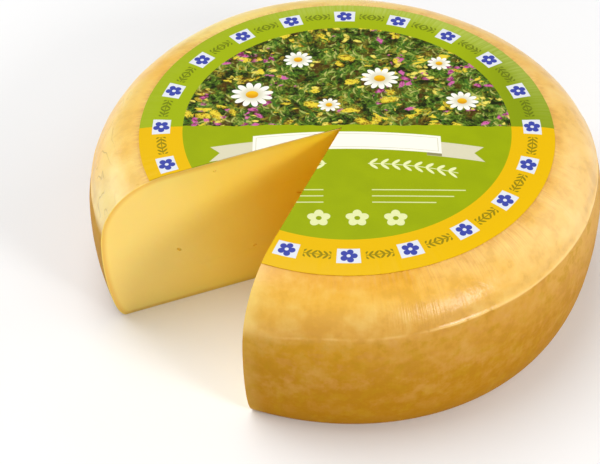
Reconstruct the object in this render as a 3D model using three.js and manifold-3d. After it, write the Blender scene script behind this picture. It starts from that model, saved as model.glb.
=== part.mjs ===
// A wheel of young gouda with one wedge cut out of it, and the round printed label on its top.
// Millimetres, +Z up. The origin is the middle of the wheel's flat underside.
// The label reads along +X with its foot towards -Y, and the cut opens towards -X and -Y.

import * as THREE from "three";
import { mergeVertices } from "three/addons/utils/BufferGeometryUtils.js";
import Module from "manifold-3d";

const { degToRad } = THREE.MathUtils;

// The wheel's outline, from the axis outwards
const WHEEL_RADIUS = 180;
const SHOULDER_HEIGHT = 119; // where the flat top starts to round over
const SHOULDER_RADIUS = 124;
const SHOULDER_POWER = 2.4; // 2 is an ellipse, and more is squarer
const CROWN = 1.6; // how far the middle of the top stands above the shoulder
const GIRTH_HEIGHT = 62; // the height at which the wheel is widest
const BASE_RADIUS = 167; // the flat underside
const FOOT_POWER = 1.95;

// A pressed cheese is a little off round: so many bulges round it, how far they stand out,
// and the direction of one of them
const LOBES = [
  { count: 2, rise: 0.4, direction: degToRad(-25) },
  { count: 3, rise: 0.45, direction: degToRad(-26) },
  { count: 4, rise: 1, direction: degToRad(23) },
];

// The raised line that the lid of the mould leaves round the shoulder
const RIDGE_HEIGHT = 91.5;
const RIDGE_WIDTH = 2.6;
const RIDGE_RELIEF = 0.9;
const RIDGE_CLEARANCE = 1; // outline points nearer than this to the line give way to it

// The cut: two knife strokes that meet just short of the middle, from -Y towards -X
const CUT_APEX = new THREE.Vector2(-2.6, -5);
const CUT_ANGLES = [degToRad(22), degToRad(68)];
const CUT_REACH = 320; // the cutting block ends well outside the wheel
const CUT_OVERSHOOT = 8; // and stands this far past its top and underside

// The eyes and slits in the two cut faces: how far out from the apex and how high they lie,
// their length, width and depth, and how the length is tilted from level, in degrees
const EYES = [
  { face: 0, out: 18, up: 84, size: [20, 1.7, 1.5], tilt: 6 },
  { face: 0, out: 41, up: 38, size: [6.2, 3.2, 2.4], tilt: 66 },
  { face: 0, out: 47, up: 65, size: [4.4, 1.6, 1.2], tilt: 58 },
  { face: 0, out: 134, up: 57, size: [3.2, 2.2, 1.4], tilt: 12 },
  { face: 0, out: 75, up: 21, size: [2.8, 2, 1.3], tilt: -30 },
  { face: 1, out: 93, up: 111.5, size: [2.4, 1.8, 1.2], tilt: 0 },
  { face: 1, out: 122, up: 49, size: [4.6, 2.4, 1.8], tilt: 52 },
  { face: 1, out: 66, up: 33, size: [3, 2.2, 1.5], tilt: -20 },
  { face: 1, out: 30, up: 71, size: [9, 1.5, 1.3], tilt: 24 },
];
const EYE_AROUND = 10; // facets round an eye
const EYE_ALONG = 6; // and from one end to the other

// The label, a thin sheet that follows the top and bends down over the start of the shoulder
const LABEL_RADIUS = 143.5;
const LABEL_CENTRE = new THREE.Vector2(0, -2.5);
const LABEL_THICKNESS = 0.4;
const LABEL_GAP = 0.3;

// How finely the round shapes are cut into facets
const TURN_STEPS = 96;
const FOOT_STEPS = 9;
const SHOULDER_STEPS = 18;
const CROWN_STEPS = 4;
const LABEL_RINGS = [0.25, 0.5, 0.72, 0.86, 0.91, 0.955, 1]; // closer together where it bends
const SAME_POINT = 1e-4; // points nearer than this are one

const wasm = await Module();
wasm.setup();

// A quarter of a superellipse of size 1, from its outermost point (share 0) to its top (share 1)
function quarter(share, power) {
  const angle = (share * Math.PI) / 2;
  return {
    across: Math.cos(angle) ** (2 / power),
    along: Math.sin(angle) ** (2 / power),
  };
}

// What the radius is multiplied by in a direction
function growth(angle) {
  let rise = 0;
  for (const lobe of LOBES) rise += lobe.rise * Math.cos(lobe.count * (angle - lobe.direction));
  return 1 + rise / WHEEL_RADIUS;
}

// The height of the top at a distance from the axis
function topHeight(radius) {
  if (radius <= SHOULDER_RADIUS) {
    return SHOULDER_HEIGHT + CROWN * (1 - (radius / SHOULDER_RADIUS) ** 2);
  }
  const across = (radius - SHOULDER_RADIUS) / (WHEEL_RADIUS - SHOULDER_RADIUS);
  const along = (1 - across ** SHOULDER_POWER) ** (1 / SHOULDER_POWER);
  return GIRTH_HEIGHT + (SHOULDER_HEIGHT - GIRTH_HEIGHT) * along;
}

// The radius of the shoulder at a height, without the raised line
function shoulderRadius(height) {
  const along = (height - GIRTH_HEIGHT) / (SHOULDER_HEIGHT - GIRTH_HEIGHT);
  const across = (1 - along ** SHOULDER_POWER) ** (1 / SHOULDER_POWER);
  return SHOULDER_RADIUS + (WHEEL_RADIUS - SHOULDER_RADIUS) * across;
}

// The outline of the whole wheel, from the middle of the underside to the middle of the top
function wheelOutline() {
  const points = [new THREE.Vector2(0, 0)];
  for (let i = FOOT_STEPS; i > 0; i--) {
    const foot = quarter(i / FOOT_STEPS, FOOT_POWER);
    const radius = BASE_RADIUS + (WHEEL_RADIUS - BASE_RADIUS) * foot.across;
    points.push(new THREE.Vector2(radius, GIRTH_HEIGHT * (1 - foot.along)));
  }
  for (let i = 0; i < SHOULDER_STEPS; i++) {
    const shoulder = quarter(i / SHOULDER_STEPS, SHOULDER_POWER);
    const radius = SHOULDER_RADIUS + (WHEEL_RADIUS - SHOULDER_RADIUS) * shoulder.across;
    const height = GIRTH_HEIGHT + (SHOULDER_HEIGHT - GIRTH_HEIGHT) * shoulder.along;
    points.push(new THREE.Vector2(radius, height));
  }
  for (let i = CROWN_STEPS; i >= 0; i--) {
    const radius = (SHOULDER_RADIUS * i) / CROWN_STEPS;
    points.push(new THREE.Vector2(radius, topHeight(radius)));
  }
  return withRidge(points);
}

// Puts the raised line in the outline, in place of the points that lie close to it
function withRidge(points) {
  const low = RIDGE_HEIGHT - RIDGE_WIDTH / 2;
  const high = RIDGE_HEIGHT + RIDGE_WIDTH / 2;
  const below = points.filter((point) => point.y < low - RIDGE_CLEARANCE);
  const above = points.filter((point) => point.y > high + RIDGE_CLEARANCE);
  const crest = shoulderRadius(RIDGE_HEIGHT) + RIDGE_RELIEF;
  return [
    ...below,
    new THREE.Vector2(shoulderRadius(low), low),
    new THREE.Vector2(crest, RIDGE_HEIGHT),
    new THREE.Vector2(shoulderRadius(high), high),
    ...above,
  ];
}

// A closed outline turned about the upright axis
function turned(outline) {
  const geometry = new THREE.LatheGeometry(outline, TURN_STEPS);
  geometry.rotateX(Math.PI / 2);
  return geometry;
}

// A closed geometry as a solid that can be cut, and back
function toSolid(geometry) {
  const bare = geometry.clone();
  bare.deleteAttribute("normal");
  bare.deleteAttribute("uv");
  const merged = mergeVertices(bare, SAME_POINT);
  return new wasm.Manifold(
    new wasm.Mesh({
      numProp: 3,
      vertProperties: new Float32Array(merged.attributes.position.array),
      triVerts: new Uint32Array(merged.index.array),
    }),
  );
}

function toGeometry(solid) {
  const mesh = solid.getMesh();
  const geometry = new THREE.BufferGeometry();
  geometry.setAttribute("position", new THREE.BufferAttribute(mesh.vertProperties, 3));
  geometry.setIndex(new THREE.BufferAttribute(mesh.triVerts, 1));
  geometry.computeVertexNormals();
  return geometry;
}

// A tall wedge-shaped block that fills the cut
function cutBlock() {
  const [first, second] = CUT_ANGLES.map(
    (angle) =>
      new THREE.Vector2(
        CUT_APEX.x - CUT_REACH * Math.sin(angle),
        CUT_APEX.y - CUT_REACH * Math.cos(angle),
      ),
  );
  const geometry = new THREE.ExtrudeGeometry(new THREE.Shape([CUT_APEX, second, first]), {
    depth: SHOULDER_HEIGHT + CROWN + 2 * CUT_OVERSHOOT,
    bevelEnabled: false,
  });
  geometry.translate(0, 0, -CUT_OVERSHOOT);
  return geometry;
}

// One eye: an egg whose middle lies on the cut face, so that half of it is sunk in the cheese
function eyeBlock({ face, out, up, size, tilt }) {
  const [length, width, depth] = size;
  const angle = CUT_ANGLES[face];
  const geometry = new THREE.SphereGeometry(1, EYE_AROUND, EYE_ALONG);
  geometry.scale(length / 2, depth, width / 2);
  geometry.rotateY(-degToRad(tilt));
  geometry.rotateZ(-Math.PI / 2 - angle); // its length now runs out along the cut face
  geometry.translate(
    CUT_APEX.x - out * Math.sin(angle),
    CUT_APEX.y - out * Math.cos(angle),
    up,
  );
  return geometry;
}

function cheeseGeometry() {
  const wheel = turned(wheelOutline());
  const position = wheel.attributes.position;
  for (let i = 0; i < position.count; i++) {
    const x = position.getX(i);
    const y = position.getY(i);
    const scale = growth(Math.atan2(y, x));
    position.setXY(i, x * scale, y * scale);
  }
  let solid = toSolid(wheel).subtract(toSolid(cutBlock()));
  for (const eye of EYES) solid = solid.subtract(toSolid(eyeBlock(eye)));
  return toGeometry(solid);
}

function labelGeometry() {
  const radii = LABEL_RINGS.map((share) => share * LABEL_RADIUS);
  const sheet = turned([
    new THREE.Vector2(0, 0),
    ...radii.map((radius) => new THREE.Vector2(radius, 0)),
    ...radii.reverse().map((radius) => new THREE.Vector2(radius, LABEL_THICKNESS)),
    new THREE.Vector2(0, LABEL_THICKNESS),
  ]);
  sheet.translate(LABEL_CENTRE.x, LABEL_CENTRE.y, LABEL_GAP);
  const position = sheet.attributes.position;
  for (let i = 0; i < position.count; i++) {
    const x = position.getX(i);
    const y = position.getY(i);
    const radius = Math.hypot(x, y) / growth(Math.atan2(y, x));
    position.setZ(i, position.getZ(i) + topHeight(radius));
  }
  return toGeometry(toSolid(sheet).subtract(toSolid(cutBlock())));
}

function namedMesh(name, geometry, color, roughness) {
  const material = new THREE.MeshStandardMaterial({ color, roughness, metalness: 0 });
  const mesh = new THREE.Mesh(geometry, material);
  mesh.name = name;
  return mesh;
}

const group = new THREE.Group();
group.add(namedMesh("cheese", cheeseGeometry(), 0xeebb55, 0.45));
group.add(namedMesh("label", labelGeometry(), 0xa9b516, 0.35));

export default group;
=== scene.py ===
"""A cut wheel of young gouda with a printed round label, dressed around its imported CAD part."""

import math
from types import SimpleNamespace

import bmesh
import bpy
from bpy.props import FloatProperty, FloatVectorProperty, IntProperty, PointerProperty
from mathutils import Matrix, Vector


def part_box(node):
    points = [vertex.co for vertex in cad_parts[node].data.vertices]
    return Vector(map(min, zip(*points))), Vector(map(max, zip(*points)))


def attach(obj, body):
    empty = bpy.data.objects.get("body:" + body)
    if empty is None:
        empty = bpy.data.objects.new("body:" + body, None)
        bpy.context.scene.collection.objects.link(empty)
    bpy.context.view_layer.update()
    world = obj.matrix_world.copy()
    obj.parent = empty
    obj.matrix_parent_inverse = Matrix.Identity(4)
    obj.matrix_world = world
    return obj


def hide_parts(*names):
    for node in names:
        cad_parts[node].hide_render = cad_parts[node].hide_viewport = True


bl_info = {
    "name": "Cut wheel of gouda",
    "version": (1, 0, 0),
    "blender": (4, 5, 0),
    "location": "3D View > Sidebar > Cheese",
    "description": "Builds the rind, the cut paste and the printed label of a wheel of gouda",
    "category": "Object",
}

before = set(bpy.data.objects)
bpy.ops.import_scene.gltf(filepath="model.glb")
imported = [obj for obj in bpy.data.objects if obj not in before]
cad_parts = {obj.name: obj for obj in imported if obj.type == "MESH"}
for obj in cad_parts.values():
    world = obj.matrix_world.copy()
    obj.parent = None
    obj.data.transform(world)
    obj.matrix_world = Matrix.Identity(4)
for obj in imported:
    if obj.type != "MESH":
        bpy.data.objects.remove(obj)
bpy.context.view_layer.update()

MM = 0.001
WHEEL_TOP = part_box("cheese")[1].z / MM
BODY = "root"
FULL_TURN = 2 * math.pi

# Bearings run from the front, -Y, towards the left, -X. The cheese fills all of them from the
# first cut face to the last, the long way round.
CUT_APEX = Vector((-2.6, -5.0, 0.0)) * MM
CUT_FIRST = math.radians(22)
CUT_LAST = math.radians(68 - 360)
AXIS = Vector((0, 0))
LABEL_CENTRE = Vector((0.6, -2.6)) * MM

# The bulges that make the wheel a little off round: how many there are round it, how far they
# stand out in millimetres, and where one of them is, in degrees from +X
LOBES = ((2, 0.40, -25), (3, 0.45, -26), (4, 1.00, 23))

# The colours of the rind
COLOURS = {
    # gold is painted shade on the shoulder towards the label
    "gold": "e4a428",
    # lemon is partly the coat's own paler tone and partly painted light
    "lemon": "fee386",
    "peach": "fcd385",
    "honey": "ffc658",
    "cream": "ffeaa8",
    "upper": "cd9729",
    "upper_right": "cd973c",
    "foot": "b17a0b",
    "milk": "d7a75c",
    "olive": "bb8e1a",
    "blush": "ca8e48",
    "sand": "dcae62",
    "groove_shade": "cb9a44",
    "front_shade": "cc8f2a",
    "brown": "a06a08",
    # line is a painted highlight along the ridge
    "line": "ffd583",
    "tuck_shade": "d99a4c",
    "crease_shade": "a87c34",
}

# The eyes and slits in the cut faces: face, distance out, height, length, width, depth, tilt
EYES = (
    (0, 18, 84, 20.0, 1.7, 1.5, 6),
    (0, 41, 38, 6.2, 3.2, 2.4, 66),
    (0, 47, 65, 4.4, 1.6, 1.2, 58),
    (0, 134, 57, 3.2, 2.2, 1.4, 12),
    (0, 75, 21, 2.8, 2.0, 1.3, -30),
    (1, 93, 111.5, 2.4, 1.8, 1.2, 0),
    (1, 122, 49, 4.6, 2.4, 1.8, 52),
    (1, 66, 33, 3.0, 2.2, 1.5, -20),
    (1, 30, 71, 9.0, 1.5, 1.3, 24),
)


def srgb(code):
    """A colour written as six hex digits, as Blender's linear red, green, blue and alpha."""
    channels = [int(code[i : i + 2], 16) / 255 for i in (0, 2, 4)]
    linear = [c / 12.92 if c <= 0.04045 else ((c + 0.055) / 1.055) ** 2.4 for c in channels]
    return (*linear, 1.0)


def as_colour(value):
    """A colour given by its name or its six hex digits, or one that is ready for use."""
    return srgb(COLOURS.get(value, value)) if isinstance(value, str) else value


# Node trees written as sums


def math_methods(operation):
    """A Math node as two methods: with the number on its left, and on its right."""

    def left(self, other):
        return self.graph.math(operation, self, other)

    def right(self, other):
        return self.graph.math(operation, other, self)

    return left, right


class Num:
    """A number in a node tree. Each sum with it adds the nodes that work the sum out."""

    __add__, __radd__ = math_methods("ADD")
    __sub__, __rsub__ = math_methods("SUBTRACT")
    __mul__, __rmul__ = math_methods("MULTIPLY")
    __truediv__, __rtruediv__ = math_methods("DIVIDE")
    __pow__, __rpow__ = math_methods("POWER")

    def __init__(self, graph, socket):
        self.graph = graph
        self.socket = socket

    def __neg__(self):
        return self * -1

    def __abs__(self):
        return self.math("ABSOLUTE")

    def math(self, operation, *others):
        return self.graph.math(operation, self, *others)

    def sin(self):
        return self.math("SINE")

    def cos(self):
        return self.math("COSINE")

    def at_least(self, other):
        return self.math("MAXIMUM", other)

    def at_most(self, other):
        return self.math("MINIMUM", other)

    def share(self, low, high, ends="SMOOTHSTEP"):
        """0 where it is low and 1 where it is high, easing in and out."""
        limits = {"Value": self, "From Min": low, "From Max": high}
        return self.graph.number("ShaderNodeMapRange", limits, "Result", interpolation_type=ends)

    def ramp(self, low, high):
        """0 where it is low and 1 where it is high, in a straight line."""
        return self.share(low, high, "LINEAR")

    def inside(self, edge=0.12):
        """1 where it is below zero, which fills a shape from the distance to its outline."""
        return self.ramp(edge, -edge)

    def over(self, start, end):
        """0 at one length and 1 at another, both in millimetres."""
        return self.share(start * MM, end * MM)

    def sweep(self, start, end):
        """0 at one bearing and 1 at another, both in degrees."""
        return self.share(math.radians(start), math.radians(end))

    def facing(self, degrees, low, high):
        """How nearly it looks along a bearing, by the cosine of the angle between the two."""
        return (self - math.radians(degrees)).cos().share(low, high)

    def bell(self, width):
        """1 where it is 0, and next to nothing where it is twice the width."""
        off = self / width
        return (-(off * off)).math("EXPONENT")


class Graph:
    """Adds nodes to a node tree and wires them up."""

    def __init__(self, tree):
        self.tree = tree

    def node(self, kind, inputs=None, **settings):
        made = self.tree.nodes.new(kind)
        for name, value in settings.items():
            setattr(made, name, value)
        for key, value in (inputs or {}).items():
            self.plug(made.inputs[key], value)
        return made

    def plug(self, socket, value):
        if isinstance(value, Num):
            value = value.socket
        if isinstance(value, bpy.types.NodeSocket):
            self.tree.links.new(value, socket)
        else:
            socket.default_value = value

    def number(self, kind, inputs=None, output=0, **settings):
        """Adds a node and gives one of its outputs as a number."""
        return Num(self, self.node(kind, inputs, **settings).outputs[output])

    def math(self, operation, *values):
        return self.number("ShaderNodeMath", dict(enumerate(values)), operation=operation)

    def split(self, vector):
        made = self.node("ShaderNodeSeparateXYZ", {0: vector})
        return [Num(self, socket) for socket in made.outputs]

    def join(self, x, y, z):
        return self.node("ShaderNodeCombineXYZ", {0: x, 1: y, 2: z}).outputs[0]

    def noise(self, place, scale=1.0, detail=2.0, rough=0.5, twist=0.0):
        """Soft random clouds. The place is a vector or three numbers."""
        at = self.join(*place) if isinstance(place, tuple) else place
        inputs = {"Vector": at, "Scale": scale, "Detail": detail, "Roughness": rough}
        inputs["Distortion"] = twist
        return self.number("ShaderNodeTexNoise", inputs)

    def cells(self, x, y, size, shift):
        """Cuts a plane into random cells: the place inside one, and three random numbers."""
        u = x / size + shift
        v = y / size - shift
        inputs = {"Vector": self.join(u, v, 0), "Scale": 1.0}
        made = self.node("ShaderNodeTexVoronoi", inputs, voronoi_dimensions="2D")
        middle = self.split(made.outputs["Position"])
        return (u - middle[0]) * size, (v - middle[1]) * size, self.split(made.outputs["Color"])

    def store(self, shape, name, value):
        inputs = {"Geometry": shape, "Name": name, "Value": value}
        made = self.node(
            "GeometryNodeStoreNamedAttribute", inputs, data_type="FLOAT", domain="POINT"
        )
        return made.outputs[0]

    def named(self, name):
        """An attribute, in a geometry tree."""
        return self.number("GeometryNodeInputNamedAttribute", {"Name": name}, data_type="FLOAT")

    def attribute(self, name):
        """An attribute, in a material."""
        return self.number("ShaderNodeAttribute", output="Fac", attribute_name=name)

    def blend(self, share, low, high):
        """One colour over another."""
        inputs = {0: share, 6: as_colour(low), 7: as_colour(high)}
        return self.node("ShaderNodeMix", inputs, data_type="RGBA").outputs[2]

    def coats(self, colour, *coats):
        """Lays colours over one another, each with the share that it covers."""
        for share, name in coats:
            colour = self.blend(share, colour, name)
        return colour

    def paint(self, colour, *shapes):
        """Fills the insides of outlines, each with a colour and how strong it is."""
        for distance, code, strength in shapes:
            colour = self.blend(distance.inside() * strength, colour, code)
        return colour

    def bump(self, height, depth):
        inputs = {"Height": height, "Distance": depth, "Strength": 1.0}
        return self.node("ShaderNodeBump", inputs).outputs[0]


def most(first, *others):
    """The largest of some numbers."""
    for other in others:
        first = first.at_least(other)
    return first


def between(share, low, high):
    return low + (high - low) * share


def length_of(x, y):
    return (x * x + y * y).math("SQRT")


def angle_of(y, x):
    return y.math("ARCTAN2", x)


def turned(x, y, angle):
    """The same place on a plane that is turned by an angle."""
    cosine, sine = [x.graph.math(operation, angle) for operation in ("COSINE", "SINE")]
    return x * cosine + y * sine, y * cosine - x * sine


# Flat shapes, as distances to their outlines that are below zero inside


def oval(x, y, long, wide):
    return (length_of(x / long, y / wide) - 1) * wide


def oblong(x, y, long, wide):
    return most(abs(x) - long, abs(y) - wide)


def plain_name(label):
    """The name that a setting has in the code."""
    return label.lower().replace(" ", "_")


def sizes_from(settings, labels):
    """A tree's sizes by their labels, each from the setting of that name."""
    return {label: float(getattr(settings, plain_name(label))) for label in labels}


def geometry_tree(name, sizes, **others):
    """A new geometry tree with named inputs: a number for each size, and others by their kind.

    Returns the tree, its graph and what it is given.
    """
    tree = bpy.data.node_groups.new(name, "GeometryNodeTree")
    kinds = dict.fromkeys(sizes, "Float") | others
    for label, kind in kinds.items():
        tree.interface.new_socket(name=label, in_out="INPUT", socket_type="NodeSocket" + kind)
    tree.interface.new_socket(name="Geometry", in_out="OUTPUT", socket_type="NodeSocketGeometry")
    graph = Graph(tree)
    entry = graph.node("NodeGroupInput")
    given = SimpleNamespace()
    for label, kind in kinds.items():
        socket = entry.outputs[label]
        setattr(given, plain_name(label), Num(graph, socket) if kind == "Float" else socket)
    return tree, graph, given


def numbered_grid(graph, columns, rows):
    """A flat grid, and the numbers of the column and the row that a point of it lies in."""
    counts = {"Size X": 1.0, "Size Y": 1.0, "Vertices X": columns + 1, "Vertices Y": rows + 1}
    grid = graph.node("GeometryNodeMeshGrid", counts)
    x, y, _ = graph.split(graph.node("GeometryNodeInputPosition").outputs[0])
    return grid.outputs[0], (x + 0.5) * columns, (y + 0.5) * rows


SAME_POINT = 0.02 * MM
CRISP_CORNER = math.radians(32)


def moved_and_merged(graph, shape, place):
    """Moves a shape's points to their places, and joins those that meet there."""
    moved = graph.node("GeometryNodeSetPosition", {"Geometry": shape, "Position": place})
    inputs = {"Geometry": moved.outputs[0], "Distance": SAME_POINT}
    return graph.node("GeometryNodeMergeByDistance", inputs).outputs[0]


def close_tree(graph, shape, finishes):
    """Ends a tree: soft shading with crisp corners, and a material for each part of the shape."""
    angle = graph.number("GeometryNodeInputMeshEdgeAngle")
    crisp = angle.math("GREATER_THAN", CRISP_CORNER)
    smooth = graph.node("GeometryNodeSetShadeSmooth", {"Geometry": shape}, domain="FACE")
    inputs = {"Geometry": smooth.outputs[0], "Selection": crisp, "Shade Smooth": False}
    sharp = graph.node("GeometryNodeSetShadeSmooth", inputs, domain="EDGE")
    last = graph.node("GeometryNodeRealizeInstances", {"Geometry": sharp.outputs[0]})
    for chosen, material in finishes:
        inputs = {"Geometry": last.outputs[0], "Selection": chosen, "Material": material}
        last = graph.node("GeometryNodeSetMaterial", inputs)
    graph.node("NodeGroupOutput", {0: last.outputs[0]})


def add_object(name, data):
    made = bpy.data.objects.new(name, data)
    bpy.context.scene.collection.objects.link(made)
    return made


def grown(name, tree, values):
    """A plain mesh object that holds what a geometry tree makes from the values given by name."""
    made = add_object(name, bpy.data.meshes.new(name))
    modifier = made.modifiers.new("shape", "NODES")
    modifier.node_group = tree
    sockets = {i.name: i.identifier for i in tree.interface.items_tree if i.in_out == "INPUT"}
    for label, value in values.items():
        modifier[sockets[label]] = value
    bpy.context.view_layer.update()
    depsgraph = bpy.context.evaluated_depsgraph_get()
    mesh = bpy.data.meshes.new_from_object(made.evaluated_get(depsgraph))
    made.modifiers.clear()
    empty = made.data
    made.data = mesh
    bpy.data.meshes.remove(empty)
    mesh.name = name
    for index in reversed(range(len(mesh.materials))):
        if mesh.materials[index] is None:
            mesh.materials.pop(index=index)
    return made


# The rule that the wheel and the label share


def growth(x, y, radius):
    """What the radius is multiplied by in a direction, because the wheel is a little off round."""
    angle = angle_of(y, x)
    rise = 0.0
    for count, height, direction in LOBES:
        rise = rise + ((angle - math.radians(direction)) * count).cos() * (height * MM)
    return rise / radius + 1


def ray(column, first, last):
    """The bearing and the direction of a column's ray from the cut's apex."""
    bearing = between(column.ramp(first, last), CUT_FIRST, CUT_LAST)
    return bearing, (-bearing.sin(), -bearing.cos())


def reach(direction, centre, radius):
    """How far a ray from the cut's apex runs before it meets a circle."""
    away = CUT_APEX.xy - centre
    along = direction[0] * away.x + direction[1] * away.y
    inside = along * along - away.length_squared + radius * radius
    return inside.math("SQRT") - along


def along_ray(direction, out):
    """The place on a ray at a distance out from the cut's apex."""
    return CUT_APEX.x + direction[0] * out, CUT_APEX.y + direction[1] * out


# Sizes and colours that a user may change

CROWN = 1.6


def length_setting(name, description, size):
    """A length, with its default in millimetres."""
    return FloatProperty(name=name, description=description, default=size * MM, unit="LENGTH")


def colour_setting(name, description, colour):
    """A colour, as its red, green, blue and alpha."""
    return FloatVectorProperty(
        name=name, description=description, default=colour, size=4, subtype="COLOR", min=0, max=1
    )


class CheeseSettings(bpy.types.PropertyGroup):
    """The sizes and colours of the wheel."""

    radius: length_setting("Radius", "At the wheel's widest", 180)
    shoulder_height: length_setting(
        "Shoulder height", "Where the flat top starts to round over", WHEEL_TOP - CROWN
    )
    shoulder_radius: length_setting("Flat top's radius", "Inside it the top is flat", 124)
    shoulder_power: FloatProperty(
        name="Shoulder squareness", description="2 is an ellipse, more is squarer", default=2.4
    )
    crown: length_setting("Crown", "How far the middle of the top stands above the shoulder", CROWN)
    girth_height: length_setting("Girth height", "The height at which the wheel is widest", 62)
    base_radius: length_setting("Base radius", "The radius of the flat underside", 167)
    foot_power: FloatProperty(
        name="Foot squareness", description="2 is an ellipse, more is squarer", default=1.95
    )
    ridge_height: length_setting("Ridge height", "The raised line that the mould's lid leaves", 91.5)
    ridge_relief: length_setting("Ridge relief", "How far the raised line stands out", 0.42)
    pleat_depth: length_setting("Pleat depth", "How deep the pleats down the shoulder are", 0.4)
    dent_depth: length_setting("Dent depth", "How uneven the pressed side is", 0.9)
    seed: IntProperty(name="Seed", description="Moves the dents and pleats", default=4)
    shoulder: colour_setting("Shoulder", "The rind above the ridge", srgb("edb545"))
    side: colour_setting("Side", "The rind below the ridge", srgb("b9821c"))
    paste: colour_setting("Paste", "The cut cheese", srgb("fbdc66"))


class LabelSettings(bpy.types.PropertyGroup):
    """The size and colours of the label."""

    radius: length_setting("Radius", "The label's radius", 142.8)
    gap: length_setting("Gap", "Between the rind and the sheet", 0.3)
    thickness: length_setting("Thickness", "Of the sheet", 0.3)
    pleat_depth: length_setting("Pleat depth", "How far the rim of the label puckers", 0.6)
    seed: IntProperty(name="Seed", description="Moves the puckers and the meadow", default=7)
    green: colour_setting("Green", "The main field of the print", srgb("95a500"))
    border: colour_setting("Border", "The upper half of the border", srgb("9eb00a"))
    yellow: colour_setting("Yellow", "The lower half of the border", srgb("e6b700"))


class StageSettings(bpy.types.PropertyGroup):
    """The floor and the light."""

    floor_colour: colour_setting("Floor", "The colour of the floor", (0.93, 0.93, 0.93, 1.0))
    light: FloatProperty(name="Light", description="The brightness of the studio", default=0.92)


# The wheel

TOP_SIZES = ("Shoulder height", "Shoulder radius", "Shoulder power", "Crown", "Girth height")
SIDE_SIZES = ("Base radius", "Foot power", "Ridge height", "Ridge relief", "Dent depth")
WHEEL_SIZES = ("Radius", *TOP_SIZES, *SIDE_SIZES, "Pleat depth", "Seed")

# The grid's columns round the rind, and on each cut face in to a box inside and on to the apex
RIND_COLUMNS = 760
RIM_COLUMNS = 6
CUT_COLUMNS = 18
# Its rows across the underside, up the foot, up the shoulder and in to the middle of the top
BASE_ROWS = 3
FOOT_ROWS = 26
SHOULDER_ROWS = 84
TOP_ROWS = 6
# The share of the shoulder's rows that lie below the ridge, and how they crowd together there
RIDGE_ROW = 0.3775
ROW_CROWDING = 0.7

# Inside this radius the rays from the apex just grow shorter in step with it
CORE = 30 * MM
# The box inside the cheese where the rows of a cut face turn towards the apex
BOX_INSET = 42 * MM
BOX_FLOOR = 30 * MM
BOX_CEILING = 34 * MM

# Where the ridge droops beside the cut: from and to which bearing, and by how many millimetres
DROOPS = ((-34, 4, 2.2), (4, 17, 3.8), (-243, -292, 6.5))
# The bearings between which the faint line in front dies out before it reaches the cut
FAINT_ENDING = (18, 9)


def wheel_tree():
    """The wheel: a grid whose columns run round it and whose rows climb its outline.

    Its first and last columns fold back to the cut's apex, so that they fill the two cut faces.
    """
    tree, graph, given = geometry_tree(
        "wheel", WHEEL_SIZES, Eyes="Object", Rind="Material", Paste="Material"
    )
    rows = BASE_ROWS + FOOT_ROWS + SHOULDER_ROWS + TOP_ROWS
    columns = RIND_COLUMNS + 2 * (CUT_COLUMNS + RIM_COLUMNS)
    grid, column, row = numbered_grid(graph, columns, rows)
    inward = column.at_most(columns - column)
    start = CUT_COLUMNS + RIM_COLUMNS
    bearing, direction = ray(column, start, columns - start)

    radius, height = outline(given, row)
    held = radius.at_least(CORE)
    rough = along_ray(direction, reach(direction, AXIS, held))
    grow = growth(*rough, given.radius)
    out = reach(direction, AXIS, held * grow) * (radius / CORE).at_most(1)
    # The rind's own relief, along the outline's normal
    skin = graph.join(*along_ray(direction, out), height)
    relief, marks = rind_relief(graph, given, skin, bearing, radius, height)
    slope_out, slope_up = outline_normal(given, radius, height)
    out = out + relief * slope_out
    up = height + relief * slope_up

    # The cut faces: first straight in from the rind to a box inside, and then on to the apex
    ceiling = given.shoulder_height - BOX_CEILING
    box_out = out.at_most(given.radius - BOX_INSET)
    box_up = up.at_least(BOX_FLOOR).at_most(ceiling)
    rim = inward.ramp(CUT_COLUMNS, CUT_COLUMNS + RIM_COLUMNS)
    rim = 1 - (1 - rim) ** 1.6
    middle = inward.ramp(0, CUT_COLUMNS)
    apex_up = between(row / rows, BOX_FLOOR, ceiling)
    face_up = between(rim, between(middle, apex_up, box_up), up)
    face_out = between(rim, box_out * middle, out)
    depth = length_of(out - face_out, up - face_up)

    # A knife leaves a slightly wavy face
    wave_at = graph.join(face_out, face_up, bearing)
    wave = graph.noise(wave_at, 22.0) + graph.noise(wave_at, 70.0, 1.0) * 0.35 - 0.675
    wave = wave * (0.9 * MM) * depth.over(0, 14) * face_out.over(0, 14)
    wave = wave * (column - columns / 2).math("SIGN")
    x, y = along_ray(direction, face_out)
    place = graph.join(x + direction[1] * wave, y - direction[0] * wave, face_up)

    # What the materials need to know, stored while the grid is still flat
    marks.update(depth=depth, cut=1 - rim, turn=bearing, climb=height + given.radius - radius)
    for name, value in marks.items():
        grid = graph.store(grid, name, value)
    finish_wheel(graph, given, moved_and_merged(graph, grid, place))
    return tree


def outline(given, row):
    """The outline's radius and height at a row."""
    shares = []
    start = 0
    for count in (BASE_ROWS, FOOT_ROWS, SHOULDER_ROWS, TOP_ROWS):
        shares.append(row.ramp(start, start + count))
        start += count
    base, foot, shoulder, top = shares
    # Shoulder rows lie closest together at the ridge
    swing = ((shoulder - RIDGE_ROW) * FULL_TURN).sin() + math.sin(FULL_TURN * RIDGE_ROW)
    shoulder = shoulder - swing * (ROW_CROWDING / FULL_TURN)
    foot_across, foot_along = quarter(1 - foot, given.foot_power)
    across, along = quarter(shoulder, given.shoulder_power)
    radius = (
        given.base_radius * base
        + (given.radius - given.base_radius) * foot_across
        + (given.radius - given.shoulder_radius) * (across - 1)
        - given.shoulder_radius * top
    )
    height = (
        given.girth_height * (1 - foot_along)
        + (given.shoulder_height - given.girth_height) * along
        + given.crown * (1 - (1 - top) ** 2)
    )
    return radius, height


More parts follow.
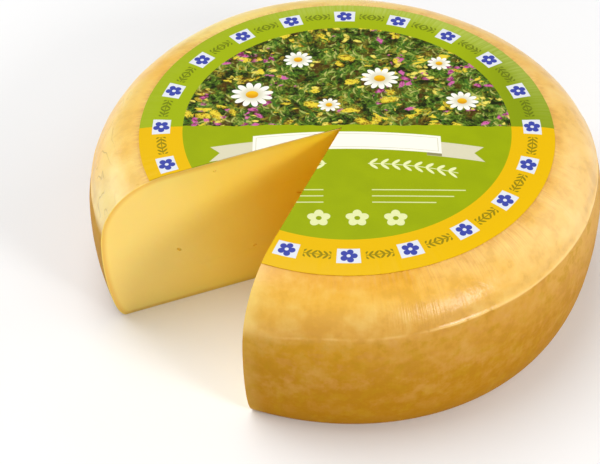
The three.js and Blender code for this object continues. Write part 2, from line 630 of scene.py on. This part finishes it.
def quarter(share, power):
    """A quarter of a superellipse, from its outermost point (share 0) to its top (share 1)."""
    angle = share * (math.pi / 2)
    across = angle.cos().at_least(0) ** (2 / power)
    along = angle.sin().at_least(0) ** (2 / power)
    return across, along


def outline_normal(given, radius, height):
    """The outline's outward normal, from how steeply the superellipse leans there."""
    wide = radius.ramp(given.shoulder_radius, given.radius)
    tall = height.ramp(given.girth_height, given.shoulder_height)
    low = height.ramp(given.girth_height, 0)
    outward = wide + 0.0001
    upward = tall**1.4 - low**3 * 0.35
    length = length_of(outward, upward)
    return outward / length, upward / length


def rind_relief(graph, given, skin, bearing, radius, height):
    """How far the rind stands out from its plain outline: the ridge, the pleats and the dents.

    Also gives what the material needs to know: the height above the ridge, how hard the ridge was
    pressed, and where the pleats above it are.
    """
    seed = given.seed * 3.7
    wander = graph.noise((bearing * 2.2, seed, 0)) - 0.5
    jitter = graph.noise((bearing * 12, seed + 7, 0), detail=1.0) - 0.5
    droop = 0.0
    for start, end, depth in DROOPS:
        droop = droop + bearing.sweep(start, end) * (depth * MM)
    above = height - given.ridge_height + droop - wander * (1.2 * MM) - jitter * (0.8 * MM)
    # The lid pressed harder on two sides
    pressed = ((bearing + math.radians(62)) * 2).cos().share(-0.1, 0.18)
    faint = bearing.facing(0, 0.9, 0.98) * 0.05 + 0.08
    faint = faint * (bearing.sweep(*FAINT_ENDING) * 0.8 + 0.2)
    ridge = above.bell(1.1 * MM) * (pressed * 0.92 + faint)
    ridge = ridge - (above - 4.2 * MM).bell(2.6 * MM) * pressed * 0.4
    # The rind steps down a little below the ridge
    step = above.over(-5, 1) * (0.35 * MM)

    # Short pleats beside the label, and one patch of them above the ridge
    down = (given.shoulder_height - height) / (40 * MM)
    fine = graph.noise((bearing * 74, down * 1.3 + seed, down * 0.5), detail=1.0) - 0.5
    coarse = graph.noise((bearing * 24, down * 0.7 + seed, down * 0.5), detail=1.0) - 0.5
    drawn = bearing.facing(-38, 0.6, 0.92) - 0.5
    patchy = graph.noise((bearing * 3.1, down * 0.6, seed + 2), detail=1.0) + drawn * 0.36
    by_label = radius.over(141, 146) * radius.over(163, 149)
    by_label = by_label * (patchy.share(0.42, 0.64) * 1.4 + 0.1)
    by_ridge = above.over(1, 7) * above.over(24, 12)
    by_ridge = by_ridge * bearing.facing(-19, 0.975, 0.997)
    pleats = (fine + coarse * 0.4) * most(by_label, by_ridge * 0.35)

    dents = graph.noise(skin, 17.0, 2.0, 0.45) - 0.5 + (graph.noise(skin, 75.0) - 0.5) * 0.22
    bare = radius.over(140, 156) * height.over(2, 22)
    relief = (ridge * given.ridge_relief + step) * bare
    relief = relief + pleats * given.pleat_depth * 1.7
    relief = relief + dents * given.dent_depth * bare * 1.6
    return relief, {"above": above, "pressed": pressed, "combed": by_ridge}


def eye_mesh():
    """The eggs that the eyes are cut out with, half sunk in the two cut faces."""
    shape = bmesh.new()
    for face, out, up, length, width, depth, tilt in EYES:
        angle = (CUT_FIRST, CUT_LAST)[face]
        place = CUT_APEX + Vector((-out * math.sin(angle), -out * math.cos(angle), up)) * MM
        matrix = (
            Matrix.Translation(place)
            @ Matrix.Rotation(-math.pi / 2 - angle, 4, "Z")
            @ Matrix.Rotation(-math.radians(tilt), 4, "Y")
            @ Matrix.Diagonal((length / 2 * MM, depth * MM, width / 2 * MM, 1))
        )
        bmesh.ops.create_icosphere(shape, subdivisions=3, radius=1, matrix=matrix)
    mesh = bpy.data.meshes.new("eyes")
    shape.to_mesh(mesh)
    shape.free()
    return add_object("eyes", mesh)


def finish_wheel(graph, given, wheel):
    """Cuts the eyes, and gives the rind and the paste their finish."""
    eggs = graph.node("GeometryNodeObjectInfo", {"Object": given.eyes}).outputs["Geometry"]
    eggs = graph.store(eggs, "cut", 1.0)
    cut = graph.node(
        "GeometryNodeMeshBoolean", {0: wheel, 1: eggs}, operation="DIFFERENCE", solver="MANIFOLD"
    )
    # The new corners round the eyes take their depth from the uncut face
    inputs = {
        "Mesh": wheel,
        "Value": graph.named("depth"),
        "Sample Position": graph.node("GeometryNodeInputPosition").outputs[0],
    }
    depth = graph.number("GeometryNodeSampleNearestSurface", inputs, "Value", data_type="FLOAT")
    holed = graph.store(cut.outputs[0], "depth", depth)
    sliced = graph.named("cut").math("GREATER_THAN", 0.0001)
    close_tree(graph, holed, [(True, given.rind), (sliced, given.paste)])


# The label

LABEL_SIZES = ("Radius", "Gap", "Thickness", "Pleat depth", "Seed")
LABEL_COLUMNS = 722
LABEL_ROWS = 44
UNDER_ROWS = 6


def top_height(given, radius):
    """The height of the wheel's top at a distance from the axis."""
    inner = (radius / given.shoulder_radius).at_most(1)
    across = radius.ramp(given.shoulder_radius, given.wheel_radius)
    along = (1 - across ** given.shoulder_power) ** (1 / given.shoulder_power)
    rise = given.shoulder_height - given.girth_height
    return given.girth_height + rise * along + given.crown * (1 - inner * inner)


def label_tree():
    """The label: a grid of rays from the cut's apex that runs out along the top of the sheet,
    over its edge and back underneath.
    """
    sizes = (*LABEL_SIZES, *TOP_SIZES, "Wheel radius")
    tree, graph, given = geometry_tree("label", sizes, Print="Material")
    rows = LABEL_ROWS + UNDER_ROWS + 2
    grid, column, row = numbered_grid(graph, LABEL_COLUMNS, rows)
    bearing, direction = ray(column, 1, LABEL_COLUMNS - 1)

    # 1 on the face, 0 in the middle of the edge and -1 underneath
    face = (LABEL_ROWS + 1 - row).at_least(-1).at_most(1)
    face = face * column.at_most(LABEL_COLUMNS - column).at_most(1)
    share = row.ramp(0, LABEL_ROWS).at_most(row.ramp(rows, LABEL_ROWS + 2))
    share = 1 - (1 - share) ** 1.5
    # Scissors don't run quite true
    seed = given.seed * 2.3
    edge = graph.noise((bearing * 5, seed, 0), detail=1.0) - 0.5
    out = reach(direction, LABEL_CENTRE, given.radius + edge * (0.6 * MM)) * share
    x, y = along_ray(direction, out)

    # The rim puckers, most of all behind
    radius = length_of(x, y) / growth(x, y, given.wheel_radius)
    fine = graph.noise((bearing * 34, share, seed + 1), detail=1.0) - 0.5
    coarse = graph.noise((bearing * 13, share, seed + 4), detail=1.0) - 0.5
    patchy = graph.noise((bearing * 2.1, 0, seed + 9), detail=1.0).share(0.35, 0.65)
    patchy = patchy * 0.6 + bearing.facing(-140, 0.75, 0.97) * 0.8
    pucker = (fine + coarse * 0.6 + 0.04).at_least(0) * patchy
    pucker = pucker * radius.over(118, 142) * given.pleat_depth * 2.5
    up = top_height(given, radius) + given.gap + given.thickness * (face + 1) / 2
    sheet = moved_and_merged(graph, grid, graph.join(x, y, up + pucker))
    flipped = graph.node("GeometryNodeFlipFaces", {"Mesh": sheet})
    close_tree(graph, flipped.outputs[0], [(True, given.print)])
    return tree


# Materials

# How deep light goes into the rind and the paste, as a weight and a distance for each colour
RIND_DEPTH = (0.1, (0.006, 0.004, 0.001))
PASTE_DEPTH = (0.5, (0.014, 0.009, 0.003))


def new_material(name):
    """An empty material, and the graph that fills it."""
    material = bpy.data.materials.new(name)
    material.use_nodes = True
    material.node_tree.nodes.clear()
    return material, Graph(material.node_tree)


def object_place(graph):
    return graph.node("ShaderNodeTexCoord").outputs["Object"]


def add_surface(graph, colour, roughness, shine=0.5, normal=None, depth=None):
    """Ends a material's graph with its surface."""
    inputs = {"Base Color": colour, "Roughness": roughness, "Specular IOR Level": shine}
    if normal is not None:
        inputs["Normal"] = normal
    if depth is not None:
        inputs["Subsurface Weight"], inputs["Subsurface Radius"] = depth
        inputs["Subsurface Scale"] = 1.0
    shader = graph.node("ShaderNodeBsdfPrincipled", inputs)
    graph.node("ShaderNodeOutputMaterial", {0: shader.outputs[0]})


# The bearing where the rind is most golden
FRONT = math.degrees(-0.1)


def rind_place(graph, label_radius):
    """Where a point of the rind lies, and the clouds and streaks in the coat there."""
    at = SimpleNamespace()
    place = object_place(graph)
    x, y, at.height = graph.split(place)
    at.past_label = length_of(x - LABEL_CENTRE.x, y - LABEL_CENTRE.y) - label_radius
    for name in ("turn", "climb", "above", "pressed", "combed"):
        setattr(at, name, graph.attribute(name))
    at.broad = graph.noise(place, 16.0)
    at.cloud = graph.noise(place, 58.0, 2.0, 0.45)
    at.mottle = graph.noise(place, 150.0)
    at.fleck = graph.noise(place, 380.0, 2.0, 0.6)
    around = at.turn * 180
    at.streak = graph.noise((around * 0.45, at.climb * 34, 0), rough=0.55)
    at.comb = graph.noise((around * 0.62, at.climb * 16, 7), detail=1.0)

    at.front = at.turn.facing(FRONT, 0.85, 0.97)
    at.behind = at.turn.facing(0, -0.5, -0.92)
    at.rightward = at.turn.sin().share(0.3, -0.5)
    # The tone changes across the ridge, most sharply where the lid pressed
    soft = (1 - at.pressed) * (6 * MM) + 1.5 * MM
    at.side = at.above.share(soft * 0.6, soft * -0.9)
    # Beside the two cut faces the coat is paler: painted light
    first = at.turn.share(CUT_FIRST - 0.08, CUT_FIRST)
    last = at.turn.share(CUT_LAST + 0.22, CUT_LAST)
    at.by_cut = most(first, last * 0.4)
    # Comb lines stand beside the label and above the ridge, and are finer than the pleats
    beside = at.turn.facing(-42, 0.75, 0.93)
    beside = beside * at.past_label.over(28, 8)
    at.beside = beside * at.cloud.share(0.35, 0.55)
    return at


def shoulder_coat(graph, at, colour):
    """Lemon to the left, peach to the right, and golden in front and towards the label, with painted
    light, sheen and shade.
    """
    # Paler to either side: partly the coat's own tone, partly a painted sheen
    aside = at.turn.facing(FRONT, 0.96, 0.5)
    patch = (at.broad * 0.5 + at.cloud * 0.5).share(0.4, 0.62)
    # Painted light on the upper left of the shoulder and behind it
    lift = at.turn.facing(99, 0.95, 0.99) * at.climb.over(108, 124)
    lift = most(lift, at.behind)
    lighter = aside * 0.45 + patch * (0.12 + aside * 0.25) + lift * 0.35
    pale = graph.blend(at.rightward, "lemon", "peach")
    colour = graph.blend(lighter, colour, pale)

    honey = at.turn.facing(105, 0.88, 0.96)
    cream = at.turn.sweep(-273, -286) * at.climb.over(134, 116)
    # Painted shade: golden towards the label, most in front
    rimward = at.climb.over(124, 146)
    left = at.turn.facing(98, 0.75, 0.95)
    peach = at.turn.facing(-36, 0.94, 0.99)
    # Painted shade: in front it darkens towards the ridge, and elsewhere in the groove above it
    front_shade = at.above.over(20, 2) * at.front
    groove_shade = (at.above - 4.5 * MM).bell(3 * MM) * at.pressed
    # Painted shade where the label's edge is tucked against it
    label_edge_shade = at.turn.facing(-40, 0.3, 0.6) * at.past_label.over(10, 1)
    tuck_shade = at.past_label.over(7, 0) * at.streak.share(0.35, 0.6)
    return graph.coats(
        colour,
        (honey * (0.7 - lift * 0.3), "honey"),
        (cream * 0.45, "cream"),
        (at.by_cut * 0.4, "lemon"),
        (rimward * (at.front * 0.55 + left * 0.14 + 0.12), "gold"),
        (rimward * peach * 0.5, "peach"),
        (front_shade * 0.62, "front_shade"),
        (groove_shade * 0.25, "groove_shade"),
        (label_edge_shade * 0.25, "gold"),
        (tuck_shade * (1 - at.front * 0.8) * 0.5, "tuck_shade"),
        # Painted shade in the hollows of the comb lines
        (at.comb.share(0.55, 0.35) * at.beside * 0.4, "tuck_shade"),
    )


def side_coat(graph, at, under, colour):
    """Ochre that darkens to the foot, partly the rind's own tone and partly painted shade, with a
    tint between olive and a pinkish beige.
    """
    rightness = at.turn.sin()
    upper = rightness.share(0.05, -0.25)
    upper = graph.blend(upper, "upper", "upper_right")
    far_right = rightness.share(-0.65, -0.95)
    upper = graph.blend(far_right * 0.55, upper, "sand")
    under = graph.blend(at.side, under, upper)
    under = graph.blend(at.climb.over(94, 44), under, colour)

    # Darker towards the foot: partly the rind's own tone, partly painted shade
    low = at.height.over(60, 4)
    fade = at.side * (1 - low * 0.85)
    tint = graph.noise((at.turn * 17, at.climb * 95, 3.3), 1.0, 3.0, 0.6)
    tone = at.cloud * 0.42 + at.mottle * 0.38 + at.streak * 0.08 + at.fleck * 0.12
    milk = tone.share(0.45, 0.69)
    brown = tone.share(0.5, 0.4) * (0.08 + at.rightward * 0.08 + at.side * 0.05)
    return graph.coats(
        under,
        (low, "foot"),
        (at.by_cut * at.side * 0.15, "lemon"),
        (at.behind * at.side * 0.22, "milk"),
        (tint.share(0.48, 0.34) * at.side * 0.45, "olive"),
        (tint.share(0.52, 0.66) * fade * 0.36, "blush"),
        (milk * fade * 0.44, "milk"),
        (brown, "brown"),
        (milk * (1 - at.side) * 0.25, "lemon"),
    )


def rind_material(settings, label_radius):
    """The waxed rind: yellow on the shoulder and ochre below the ridge, with soft clouds."""
    material, graph = new_material("waxed_rind")
    at = rind_place(graph, label_radius)
    colour = shoulder_coat(graph, at, settings.shoulder)
    colour = side_coat(graph, at, colour, settings.side)

    # Painted highlight: a pale line along the ridge, faint in front
    faint = at.front * at.cloud.share(0.42, 0.58) * at.turn.sweep(*FAINT_ENDING)
    line = at.above.bell(0.8 * MM) * (0.05 + at.pressed * 0.95 + faint * 0.4)
    line = line * at.mottle.share(0.24, 0.4)
    # Short creases where the coat has folded, above the ridge on the left, with painted shade in
    # them
    vein = graph.noise((at.turn * 6, at.climb * 80, 4.2), detail=1.0)
    vein = abs(vein - 0.5).share(0.02, 0.002) * at.cloud.share(0.45, 0.55)
    vein = vein * at.above.over(2, 6) * at.above.over(26, 16)
    vein = vein * at.turn.facing(88, 0.9, 0.98)
    colour = graph.coats(colour, (line * 0.6, "line"), (vein * 0.35, "crease_shade"))

    combed = most(at.combed, at.beside)
    grain = at.fleck * 0.4 + at.mottle * 0.5 + at.comb * combed * 0.75 - vein * 0.8
    rough = 0.25 + at.cloud * 0.12 + at.side * 0.17 + combed * 0.05
    dull = at.front * at.climb.over(112, 132)
    shine = 0.62 - most(at.side * 0.6, dull * 0.45)
    add_surface(graph, colour, rough, shine, graph.bump(grain, 0.4 * MM), RIND_DEPTH)
    return material


def paste_material(settings):
    """The cut cheese: smooth, paler inside and darker where it meets the rind, with painted shade
    and bounced light deepening its gold towards the cut's apex.
    """
    material, graph = new_material("cut_paste")
    place = object_place(graph)
    x, y, height = graph.split(place)
    depth = graph.attribute("depth")
    curd = graph.noise(place, 120.0, 3.0, 0.55)
    broad = graph.noise(place, 18.0, 1.0)
    out = length_of(x - CUT_APEX.x, y - CUT_APEX.y)
    # Towards the apex the gold deepens: painted shade and light bounced inside the notch
    inward = out.over(130, 10)
    nook_shade = inward * height.over(114, 84)
    rind = depth.over(5, 0.8) * (0.6 - inward * 0.5)
    rim = depth.over(0.9, 0.3)
    colour = graph.coats(
        settings.paste,
        (broad.share(0.35, 0.65) * 0.3, "f6d04c"),
        (curd.share(0.55, 0.75) * 0.12, "fce494"),
        (out.over(70, 150) * 0.5, "fbd986"),
        (inward * 0.4, "eeb81c"),
        (nook_shade * 0.7, "f4c000"),
        (out.over(60, 6) * 0.9, "ffd42c"),
        (rind, "e2a31e"),
        (rim, "f2cf6a"),
    )
    shine = 0.5 - inward * 0.35
    add_surface(graph, colour, 0.5, shine, graph.bump(curd, 0.12 * MM), PASTE_DEPTH)
    return material


# The print, all in millimetres from the middle of the label

# The border's inner edge, and the middle line of the blossoms on it, as shares of the radius
BORDER_EDGE = 0.791
BORDER_MIDDLE = 0.893
TILE_COUNT = 20

# Where the daisies stand on the label, how large they are and how many petals they have
DAISIES = (
    (-66, 34, 15.0, 12),
    (-34, 74, 10.5, 11),
    (24, 52, 13.5, 12),
    (67, 70, 8.5, 10),
    (81, 27, 11.5, 11),
    (-12, 22, 8.0, 10),
)

# Blades of grass: the shift and the size of their cells, and their colour
BLADES = ((3.1, 5.0, "86a23a"), (8.7, 6.4, "b9ba66"), (14.2, 9.0, "3a6a1e"))

# Drifts of small flowers: the shift and the size of their cells, how finely the drifts are
# broken up, how rare they are, and their dark and light colours
DRIFTS = (
    (5.5, 7.2, 0.03, 0.572, "7c2a52", "d268a6"),
    (1.3, 12.5, 0.03, 0.56, "8a6a12", "e9d23a"),
    (9.9, 6.2, 0.04, 0.585, "a58a1e", "efdf62"),
)


def label_material(settings):
    """Fields of green and yellow, a flowering meadow, a blank ribbon and a border of blossoms."""
    material, graph = new_material("label_print")
    place = graph.split(object_place(graph))
    x = (place[0] - LABEL_CENTRE.x) / MM
    y = (place[1] - LABEL_CENTRE.y) / MM
    size = settings.radius / MM

    mottle = graph.noise((x, y, 0), 0.05)
    field = graph.blend(mottle.share(0.3, 0.7), settings.green, "9aaa00")
    hill = (x / 9 + 0.7).sin() * 0.5 + (x / 2.3).sin() * 0.35
    inner = graph.blend((hill - y).inside(), field, meadow(graph, x, y, settings))
    inner = ribbon(graph, x, y, inner)
    inner = sprigs(graph, x, y, inner)
    inner = blossom_row(graph, x, y, inner)

    # Painted shade on the right of the border, where the label curves away from the light
    shaded = x.share(0.5 * size, 0.85 * size) * 0.9
    border = graph.blend(shaded, settings.border, "84960a")
    # A painted sheen on the border, behind and to the right
    border = graph.blend(sheen(graph, x, y, size), border, "c3d06c")
    border = graph.blend(y.inside(), border, settings.yellow)
    border = garland(graph, x, y, size, border)
    rim = length_of(x - 0.001 * size, y) - BORDER_EDGE * size
    colour = graph.blend(rim.inside(), border, inner)
    grain = graph.bump(graph.noise((x, y, 0), 0.9), 0.05 * MM)
    add_surface(graph, colour, roughness=0.4, shine=0.14, normal=grain)
    return material


def sheen(graph, x, y, size):
    """How strongly a painted sheen shows where the rim of the label puckers, behind and to the
    right.
    """
    far = length_of(x, y) / size
    turn = angle_of(y, x)
    streaks = graph.noise((turn * 75, far * 3, 3))
    sheen_share = far.share(0.86, 0.98) * (streaks.share(0.38, 0.62) * 0.45 + 0.4)
    return sheen_share * (turn.facing(62, 0.45, 0.95) * 0.6 + 0.1)


def meadow(graph, x, y, settings):
    """Grass in light and shade, drifts of yellow and pink, and a few large daisies."""
    seed = settings.seed * 1.7
    at = graph.join(x, y, seed)
    fine = graph.noise(at, 0.34, 3.0, 0.7)
    gloom = graph.noise(at, 0.11, 3.0, 0.6)
    shade = fine + (gloom - 0.5) * 1.1
    colour = graph.blend(shade.share(0.32, 0.6), "1c2407", "4f6f1a")
    colour = graph.blend(shade.share(0.56, 0.8) * 0.85, colour, "a1b14e")
    brown = graph.noise(at, 0.09, 3.0, 0.6, 0.5).share(0.5, 0.62)
    colour = graph.blend(brown * 0.6, colour, "5c3a0e")
    straw = graph.noise(at, 0.06, 3.0, 0.65, 0.8).share(0.56, 0.66)
    straw = straw * fine.share(0.4, 0.6)
    colour = graph.blend(straw * 0.7, colour, "b0952c")
    for shift, size, tone in BLADES:
        u, v, odds = graph.cells(x, y, size, shift)
        a, b = turned(u, v, (odds[0] - 0.5) * 2.6 + 1.57)
        blade = oval(a, b + a * a * 0.08, size * 0.6, size * 0.1).inside()
        blade = blade * (odds[1] - 0.6).inside(0.01) * gloom.share(0.4, 0.55)
        colour = graph.blend(blade * 0.85, colour, tone)
    for shift, size, scale, bar, dark, light in DRIFTS:
        drift_at = (x + shift * 31, y * 1.5, seed + shift)
        drift = graph.noise(drift_at, scale, 3.0, 0.65, 0.6)
        u, v, odds = graph.cells(x, y, size, shift)
        a, b = turned(u, v, (odds[0] - 0.5) * 2.2)
        dab = oval(a, b, size * 0.52, size * 0.26) + (fine - 0.5) * size * 0.7
        dab = dab.inside(0.3)
        dab = dab * (drift + (odds[1] - 0.5) * 0.16).share(bar, bar + 0.03)
        lit = (fine + odds[2] * 0.16).share(0.42, 0.62)
        colour = graph.blend(dab, colour, graph.blend(lit, dark, light))
    for middle_x, middle_y, radius, petals in DAISIES:
        colour = daisy(graph, x - middle_x, (y - middle_y) * 1.1, radius, petals, colour)
    return colour


def daisy(graph, x, y, radius, petals, under):
    """One daisy with rounded petals and a golden middle."""
    far = length_of(x, y)
    turn = angle_of(y, x) + radius
    lobe = abs((turn * (petals / 2)).cos()) ** 0.6
    flower = (far - radius * (0.5 + lobe * 0.5)).inside(0.2)
    white = graph.blend((far / radius).share(0.3, 0.8), "d9d6bb", "fbf8ee")
    gold = graph.blend((y / radius).share(-0.2, 0.2), "d99a0c", "f3be1c")
    colour = graph.blend(flower, under, white)
    return graph.blend((far - radius * 0.3).inside(0.2), colour, gold)


def ribbon(graph, x, y, under):
    """A blank ribbon with swallow tails."""
    half, tail_start, tail_end = 64, 54, 86
    wide = abs(x)
    arch = y + 16 + x * x * 0.0011
    tail_y = abs(arch + 4.5)
    tail = most(wide - tail_end - tail_y * 0.9, tail_start - wide, tail_y - 7.5)
    fold = most(wide - half, tail_start - wide, abs(arch + 10.2) - 1.6)
    band = oblong(x, arch, half, 9)
    line = abs(band + 2.2) - 0.25
    return graph.paint(
        under,
        (tail, "d9d3b4", 1),
        (fold, "8f8a5e", 1),
        (band, "f8f5e6", 1),
        (line, "b9b58a", 0.6),
    )


def leafy_stem(along, off, past_end, step, lift, lean, leaf):
    """1 on a thin stem and its leaves, from how far along it and off it a place is."""
    part = ((along / step).math("FRACT") - 0.5) * step
    leaves = oval(*turned(part, off - lift, lean), *leaf)
    return most(most(off - 0.35, past_end).inside(), most(leaves, past_end).inside())


def sprigs(graph, x, y, under):
    """Two leafy stems under the ribbon, and three thin rules under each."""
    pale = "e9ecb0"
    start, end = 14, 74
    wide = abs(x)
    along = (wide - start) / (end - start)
    off = abs(y + 40 + along * along * 9)
    past_end = most(wide - end, start - wide)
    stem = leafy_stem(wide - start, off, past_end, 7.5, 2.6, 0.75, (3.6, 1.15))
    colour = graph.blend(stem, under, pale)
    for level, rule_end in ((-66, 78), (-72, 70), (-78, 58)):
        rule = most(wide - rule_end, 16 - wide, abs(y - level) - 0.5)
        colour = graph.paint(colour, (rule, pale, 0.75))
    return colour


def blossom_row(graph, x, y, under):
    """Three pale blossoms in a row at the foot."""
    down = y + 93
    across = abs(abs(x - 6) - 12.5) - 12.5
    far = length_of(across, down)
    petals = far - 5.2 - abs((angle_of(across, down) * 2.5).cos()) * 2.6
    return graph.paint(under, (petals, "e9ecb0", 0.9), (far - 1.9, "8fa000", 1))


def garland(graph, x, y, size, under):
    """Blue blossoms on pale tiles round the border, with dark sprigs between them."""
    middle = BORDER_MIDDLE * size
    pitch = FULL_TURN / TILE_COUNT * middle
    step = angle_of(-x, y) * (TILE_COUNT / FULL_TURN) + 0.5
    u = ((step + TILE_COUNT).math("FRACT") - 0.5) * pitch
    v = length_of(x, y) - middle
    tile = oblong(u, v, 7.6, 6.2)
    far = length_of(u, v)
    petal = abs((angle_of(v, u) * 2.5).cos()).math("SQRT")
    apart = pitch / 2 - abs(u)
    sprig = leafy_stem(apart, abs(v), apart - 9, 3.6, 1.7, -0.8, (2.3, 0.75))
    colour = graph.blend(sprig * 0.72, under, "55600e")
    return graph.paint(
        colour,
        (tile, "dfe2e8", 1),
        (far - 2.8 - petal * 3.0, "3f49a3", 1),
        (far - 1.3, "dfe2e8", 1),
    )


# The stage

CAMERA_PLACE = Vector((-17.4, -925.0, 889.0)) * MM
CAMERA_YAW = -0.016
CAMERA_PITCH = 0.7555
CAMERA_ROLL = -0.0103
FOCAL_PIXELS = 1742.0
PHOTO_WIDTH = 600
SENSOR = 36.0
FLOOR_HALF = 3.0
LIGHTS_AIM = Vector((0, 0, 0.06))

# Each light's name, place, size and power, and whether it shows in what it shines on
LIGHTS = (
    ("top", (-0.6, 0.3, 1.85), 1.8, 27, True),
    ("left", (-1.7, 0.9, 0.8), 1.0, 8, True),
    ("right", (1.7, 0.5, 0.8), 1.7, 10, True),
    ("glint", (1.27, -1.28, 1.05), 0.6, 17, True),
    ("front", (-0.2, -2.2, 1.0), 1.4, 10, False),
)


def make_camera():
    camera = bpy.data.cameras.new("camera")
    camera.sensor_width = SENSOR
    camera.lens = FOCAL_PIXELS * SENSOR / PHOTO_WIDTH
    camera.clip_start = 0.05
    camera.clip_end = 20
    holder = add_object("camera", camera)
    holder.matrix_world = (
        Matrix.Translation(CAMERA_PLACE)
        @ Matrix.Rotation(-CAMERA_YAW, 4, "Z")
        @ Matrix.Rotation(math.pi / 2 - CAMERA_PITCH, 4, "X")
        @ Matrix.Rotation(CAMERA_ROLL, 4, "Z")
    )
    bpy.context.scene.camera = holder


def make_floor(colour):
    mesh = bpy.data.meshes.new("floor")
    half = FLOOR_HALF
    corners = [(-half, -half, 0), (half, -half, 0), (half, half, 0), (-half, half, 0)]
    mesh.from_pydata(corners, [], [(0, 1, 2, 3)])
    material, graph = new_material("pale_floor")
    add_surface(graph, colour, roughness=0.7)
    mesh.materials.append(material)
    add_object("floor", mesh)


def make_lights(strength):
    scene = bpy.context.scene
    scene.world = bpy.data.worlds.new("studio")
    scene.world.use_nodes = True
    sky = scene.world.node_tree.nodes["Background"]
    sky.inputs[0].default_value = (1.0, 1.0, 1.0, 1.0)
    sky.inputs[1].default_value = 0.25 * strength
    for name, place, size, watts, shines in LIGHTS:
        light = bpy.data.lights.new(name, "AREA")
        light.shape = "DISK"
        light.size = size
        light.energy = watts * strength
        holder = add_object(name, light)
        holder.visible_glossy = shines
        holder.location = place
        aim = LIGHTS_AIM - Vector(place)
        holder.rotation_euler = aim.to_track_quat("-Z", "Y").to_euler()
    scene.view_settings.view_transform = "Standard"


# Operators and the panel


class CHEESE_OT_wheel(bpy.types.Operator):
    """Build the wheel with its rind, its cut faces and their eyes"""

    bl_idname = "cheese.wheel"
    bl_label = "Wheel"

    def execute(self, context):
        settings = context.scene.cheese
        eyes = eye_mesh()
        values = sizes_from(settings, WHEEL_SIZES)
        values["Eyes"] = eyes
        values["Rind"] = rind_material(settings, context.scene.cheese_label.radius)
        values["Paste"] = paste_material(settings)
        wheel = grown("cheese_wheel", wheel_tree(), values)
        bpy.data.objects.remove(eyes)
        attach(wheel, BODY)
        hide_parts("cheese")
        return {"FINISHED"}


class CHEESE_OT_label(bpy.types.Operator):
    """Build the printed label that lies on the wheel"""

    bl_idname = "cheese.label"
    bl_label = "Label"

    def execute(self, context):
        wheel = context.scene.cheese
        settings = context.scene.cheese_label
        values = sizes_from(settings, LABEL_SIZES) | sizes_from(wheel, TOP_SIZES)
        values["Wheel radius"] = wheel.radius
        values["Print"] = label_material(settings)
        label = grown("printed_label", label_tree(), values)
        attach(label, BODY)
        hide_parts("label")
        return {"FINISHED"}


class CHEESE_OT_stage(bpy.types.Operator):
    """Lay the floor and set the camera and the studio light"""

    bl_idname = "cheese.stage"
    bl_label = "Stage"

    def execute(self, context):
        settings = context.scene.cheese_stage
        make_camera()
        make_floor(settings.floor_colour)
        make_lights(settings.light)
        return {"FINISHED"}


class CHEESE_PT_panel(bpy.types.Panel):
    """The wheel's sizes and the buttons that build it"""

    bl_idname = "CHEESE_PT_panel"
    bl_label = "Wheel of gouda"
    bl_space_type = "VIEW_3D"
    bl_region_type = "UI"
    bl_category = "Cheese"

    def draw(self, context):
        for group, operator in zip(SETTINGS, ("cheese.wheel", "cheese.label", "cheese.stage")):
            settings = getattr(context.scene, group)
            box = self.layout.box()
            for name in settings.bl_rna.properties.keys():
                if name not in ("rna_type", "name"):
                    box.prop(settings, name)
            box.operator(operator)


SETTINGS = {"cheese": CheeseSettings, "cheese_label": LabelSettings, "cheese_stage": StageSettings}
CLASSES = (
    *SETTINGS.values(),
    CHEESE_OT_wheel,
    CHEESE_OT_label,
    CHEESE_OT_stage,
    CHEESE_PT_panel,
)


def register():
    for each in CLASSES:
        bpy.utils.register_class(each)
    for name, group in SETTINGS.items():
        setattr(bpy.types.Scene, name, PointerProperty(type=group))


def unregister():
    for name in SETTINGS:
        delattr(bpy.types.Scene, name)
    for each in reversed(CLASSES):
        bpy.utils.unregister_class(each)


def main():
    register()
    bpy.ops.cheese.wheel()
    bpy.ops.cheese.label()
    bpy.ops.cheese.stage()


if __name__ == "__main__":
    main()
